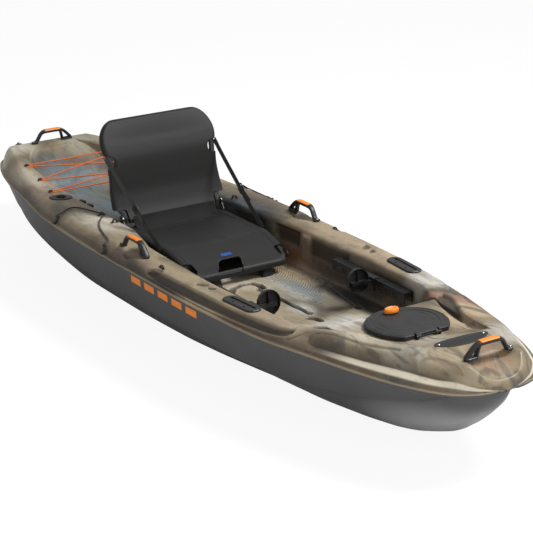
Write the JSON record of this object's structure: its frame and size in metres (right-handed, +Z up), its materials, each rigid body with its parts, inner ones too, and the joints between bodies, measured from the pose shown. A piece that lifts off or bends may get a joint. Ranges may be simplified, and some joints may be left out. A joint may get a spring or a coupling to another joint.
{
  "type": "sit-on-top fishing kayak",
  "caption": "Sit-on-top fishing kayak with a framed seat whose backrest folds, a bow hatch, foot braces that slide, rod holders, carry handles and a bungee-laced tank well.",
  "frame": {"origin": "under the middle of the length and beam, on the flat of the hull bottom", "axes": "+X to the bow, +Y to port, +Z up"},
  "size_m": [3.05, 0.864, 0.6752],
  "materials": {
    "camouflage_plastic": "satin, blotched in beige, khaki, brown and blue-grey",
    "grey_plastic": "satin",
    "black_plastic": "satin, finely grained",
    "orange_plastic": "satin",
    "black_rubber": "matt",
    "white_foam": "matt closed-cell foam",
    "painted_tube": "satin powder coat",
    "charcoal_cloth": "woven, matt",
    "black_webbing": "woven webbing, matt",
    "orange_cord": "braided sheath over elastic"
  },
  "bodies": {
    "hull": {"hull": "grey_plastic", "deck": "camouflage_plastic", "foam_bow": "white_foam", "foam_seat": "white_foam", "foam_stern": "white_foam", "scupper_front_port": "grey_plastic", "scupper_front_starboard": "grey_plastic", "scupper_rear_port": "grey_plastic", "scupper_rear_starboard": "grey_plastic", "handle_bow": "black_plastic", "handle_bow_grip": "orange_plastic", "handle_stern": "black_plastic", "handle_stern_grip": "orange_plastic", "handle_port": "black_plastic", "handle_port_grip": "orange_plastic", "handle_starboard": "black_plastic", "handle_starboard_grip": "orange_plastic", "gear_plate_port": "black_plastic", "rod_holder_port": "black_plastic", "foot_rail_port": "black_plastic", "strap_eye_port": "black_plastic", "gear_plate_starboard": "black_plastic", "rod_holder_starboard": "black_plastic", "foot_rail_starboard": "black_plastic", "strap_eye_starboard": "black_plastic", "well_eye_port_1": "black_plastic", "well_eye_port_2": "black_plastic", "well_eye_port_3": "black_plastic", "well_eye_starboard_1": "black_plastic", "well_eye_starboard_2": "black_plastic", "well_eye_starboard_3": "black_plastic", "well_cord": "orange_cord", "paddle_cord_port": "black_rubber", "paddle_cord_starboard": "black_rubber", "paddle_hook_aft": "black_plastic", "paddle_hook_fore": "black_plastic", "paddle_hook_port": "black_plastic", "paddle_button": "black_plastic", "paddle_eye": "black_plastic", "hatch_rim": "black_plastic", "hatch_gasket": "black_rubber", "hatch_rod": "painted_tube"},
    "drain_plug": {"drain_plug": "black_plastic"},
    "hatch_lid": {"hatch_lid": "black_plastic"},
    "hatch_knob": {"hatch_knob": "orange_plastic"},
    "pedal_port": {"pedal_port": "black_plastic"},
    "pedal_starboard": {"pedal_starboard": "black_plastic"},
    "seat": {"seat_base_frame": "painted_tube", "seat_base_cover": "charcoal_cloth", "seat_foot_port": "black_rubber", "seat_foot_starboard": "black_rubber", "seat_bracket_port": "painted_tube", "seat_bracket_starboard": "painted_tube"},
    "backrest": {"backrest_frame": "painted_tube", "backrest_cover": "charcoal_cloth", "strap_port": "black_webbing", "strap_starboard": "black_webbing"}
  },
  "joints": [
    {"name": "hatch_hinge", "type": "hinge", "parent": "hull", "child": "hatch_lid", "pos_m": [1.14, 0, 0.3405], "axis": [0, 1, 0], "range_deg": [0, 100]},
    {"name": "hatch_knob_turn", "type": "hinge", "parent": "hatch_lid", "child": "hatch_knob", "pos_m": [0.948, 0, 0.345], "axis": [0, 0, -1], "range_deg": [0, 90]},
    {"name": "pedal_port_slide", "type": "slide", "parent": "hull", "child": "pedal_port", "axis": [1, 0, 0], "range_m": [-0.185, 0.16]},
    {"name": "pedal_starboard_slide", "type": "slide", "parent": "hull", "child": "pedal_starboard", "axis": [1, 0, 0], "range_m": [-0.185, 0.16]},
    {"name": "drain_plug_turn", "type": "hinge", "parent": "hull", "child": "drain_plug", "pos_m": [-1.447, -0.136, 0.361], "axis": [-0.3296, 0, 0.9441], "range_deg": [0, 360]},
    {"name": "seat_lift", "type": "slide", "parent": "hull", "child": "seat", "axis": [0, 0, 1], "range_m": [0, 0.28]},
    {"name": "backrest_fold", "type": "hinge", "parent": "seat", "child": "backrest", "pos_m": [-0.425, 0, 0.325], "axis": [0, 1, 0], "range_deg": [0, 60], "deforming": ["strap_port", "strap_starboard"]}
  ]
}
